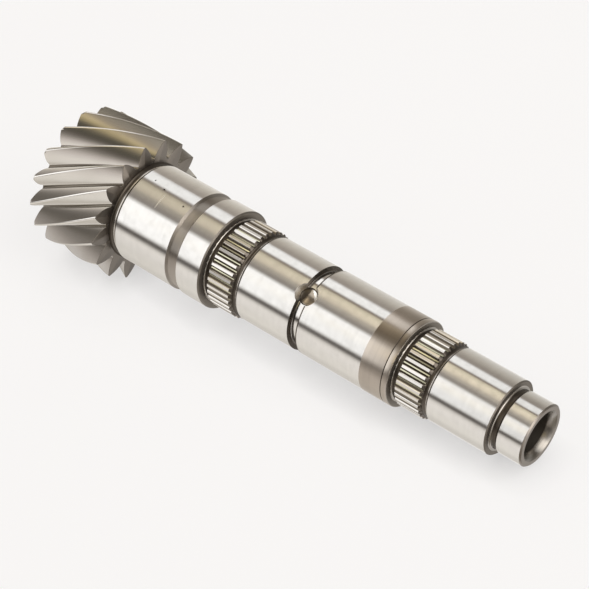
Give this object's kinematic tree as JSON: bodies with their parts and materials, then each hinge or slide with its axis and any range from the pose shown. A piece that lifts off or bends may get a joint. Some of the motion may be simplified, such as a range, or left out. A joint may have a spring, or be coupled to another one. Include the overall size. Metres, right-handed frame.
{
  "type": "helical pinion shaft",
  "caption": "Hardened gearbox output shaft with an integral helical pinion, ground journals, two external splines, a ring groove with a ball pocket and a blind bore in its far end.",
  "frame": {"origin": "middle of the flat pinion end, which the shaft stands on", "axes": "+Z runs along the shaft axis from the pinion to the bored end; the ball pocket opens close to -Y; +X completes the right-handed frame"},
  "size_m": [0.0684, 0.0684, 0.2574],
  "materials": {
    "ground_steel": "ground case-hardened steel, bright on the journals and darker in the reliefs",
    "hardened_steel": "case-hardened steel, cut and shaved tooth flanks with a satin sheen"
  },
  "bodies": {
    "root": {"pinion": "hardened_steel", "shaft": "ground_steel"}
  },
  "joints": []
}
